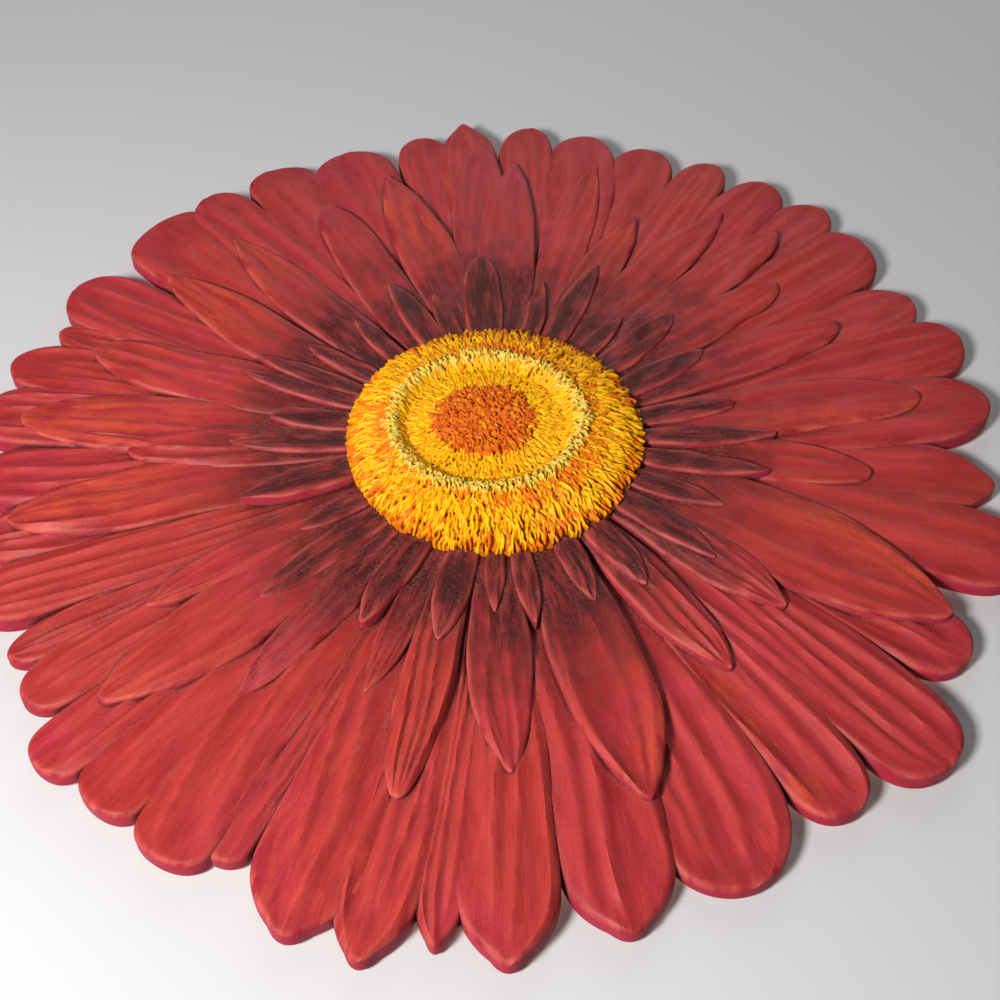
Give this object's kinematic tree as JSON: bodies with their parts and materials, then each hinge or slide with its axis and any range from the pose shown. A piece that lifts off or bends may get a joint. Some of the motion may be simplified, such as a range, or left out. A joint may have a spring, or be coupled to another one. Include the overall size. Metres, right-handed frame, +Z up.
{
  "type": "ceramic wall plaque",
  "caption": "Round wall plaque cast as a red gerbera daisy in relief, with overlapping veined petals, a tufted yellow and orange disc and a flat back.",
  "frame": {"origin": "centre of the flat back, behind the middle of the floret disc", "axes": "+X to the right and +Z up as it hangs, the relief faces -Y and the flat back faces +Y"},
  "size_m": [0.2791, 0.0139, 0.2833],
  "materials": {
    "painted_red_clay": "satin hand-painted ceramic"
  },
  "bodies": {
    "root": {"flower_plaque": "painted_red_clay"}
  },
  "joints": []
}
